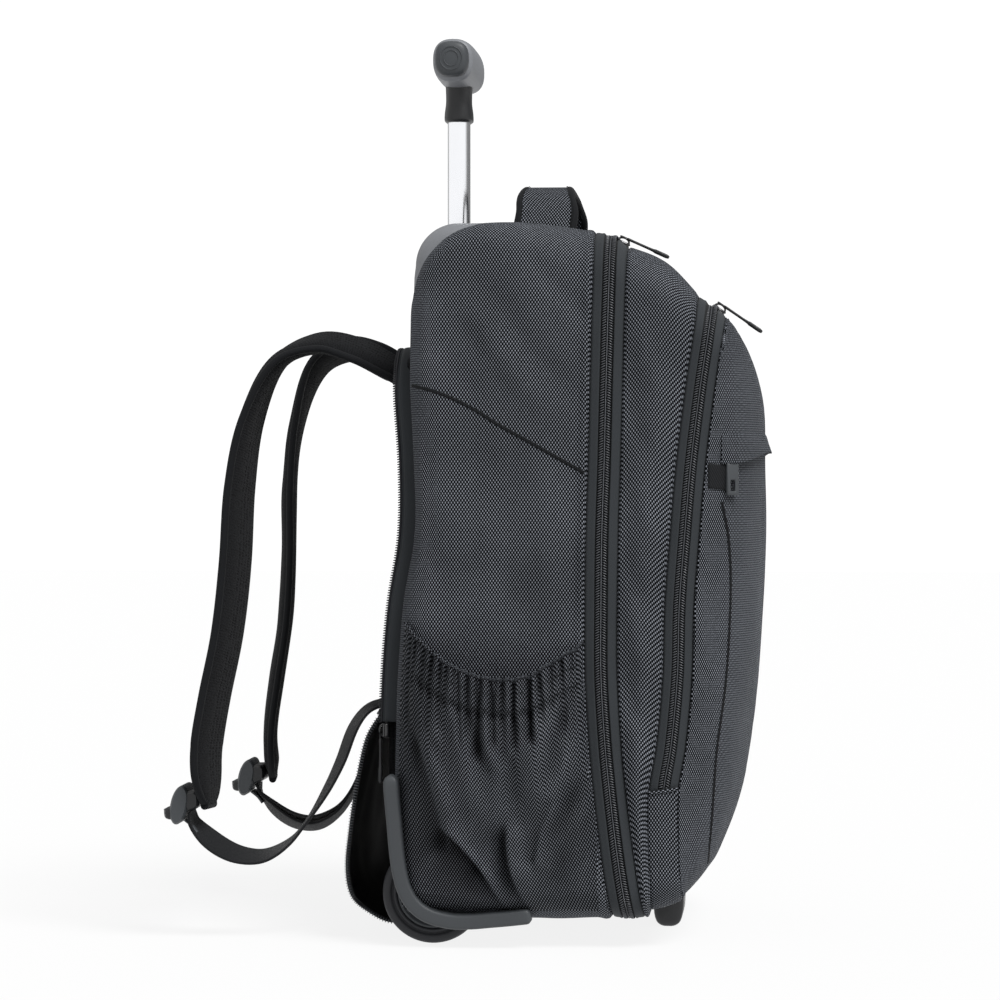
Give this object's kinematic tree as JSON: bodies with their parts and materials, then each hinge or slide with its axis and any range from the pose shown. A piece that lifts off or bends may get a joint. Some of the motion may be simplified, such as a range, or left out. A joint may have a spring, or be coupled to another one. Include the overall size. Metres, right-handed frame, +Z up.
{
  "type": "wheeled backpack",
  "caption": "Hollow fabric backpack with padded shoulder straps, side pockets, zips, a hanging strap-stow cover, corner wheels and a sliding single-pole trolley handle.",
  "frame": {"origin": "middle of the underside of the whole part's box, on the surface the bag stands on", "axes": "+Z up, +X out of the bag's front, the wearer's back at -X, +Y across the bag along the wheel axles"},
  "size_m": [0.4138, 0.3674, 0.633],
  "materials": {
    "woven_cloth": "coarse two-tone woven polyester",
    "zip_tape": "smooth woven tape",
    "air_mesh": "knitted air mesh",
    "webbing": "ribbed webbing",
    "grey_plastic": "fine textured moulding",
    "dark_plastic": "satin moulding",
    "zip_metal": "black lacquered die casting",
    "pole_aluminium": "satin anodised",
    "axle_steel": "bright drawn",
    "tyre_rubber": "matte"
  },
  "bodies": {
    "bag": {"main_body": "woven_cloth", "main_zip_tape": "zip_tape", "main_zip_slider": "zip_metal", "main_zip_pull": "dark_plastic", "front_body": "woven_cloth", "front_zip_tape": "zip_tape", "front_zip_slider": "zip_metal", "front_zip_pull": "dark_plastic", "front_panel": "woven_cloth", "pocket_hood": "woven_cloth", "pocket_zip_pull": "dark_plastic", "side_pocket_near": "woven_cloth", "side_pocket_far": "woven_cloth", "back_pad": "air_mesh", "back_zip_gusset": "zip_tape", "back_zip_slider": "zip_metal", "back_zip_pull": "dark_plastic", "back_cover": "woven_cloth", "shoulder_strap_near": "air_mesh", "shoulder_strap_far": "air_mesh", "strap_buckle_near": "grey_plastic", "strap_buckle_far": "grey_plastic", "strap_webbing_near": "webbing", "strap_webbing_far": "webbing", "grab_handle": "woven_cloth", "trolley_cap": "grey_plastic", "trolley_outer_tube": "pole_aluminium", "corner_guard_near": "grey_plastic", "corner_guard_far": "grey_plastic", "wheel_housing_near": "dark_plastic", "wheel_housing_far": "dark_plastic", "axle_near": "axle_steel", "axle_far": "axle_steel", "front_foot": "dark_plastic"},
    "handle": {"trolley_tube": "pole_aluminium", "handle_neck": "dark_plastic", "handle_grip": "grey_plastic", "grip_cap_near": "dark_plastic", "grip_cap_far": "dark_plastic"},
    "wheel_near": {"tyre_near": "tyre_rubber", "hub_near": "grey_plastic"},
    "wheel_far": {"tyre_far": "tyre_rubber", "hub_far": "grey_plastic"}
  },
  "joints": [
    {"name": "handle_slide", "type": "slide", "parent": "bag", "child": "handle", "axis": [0, 0, 1], "range_m": [-0.075, 0.29]},
    {"name": "wheel_near_spin", "type": "hinge", "parent": "bag", "child": "wheel_near", "pos_m": [-0.0238, -0.118, 0.035], "axis": [0, 1, 0], "continuous": true},
    {"name": "wheel_far_spin", "type": "hinge", "parent": "bag", "child": "wheel_far", "pos_m": [-0.0238, 0.118, 0.035], "axis": [0, 1, 0], "continuous": true}
  ]
}
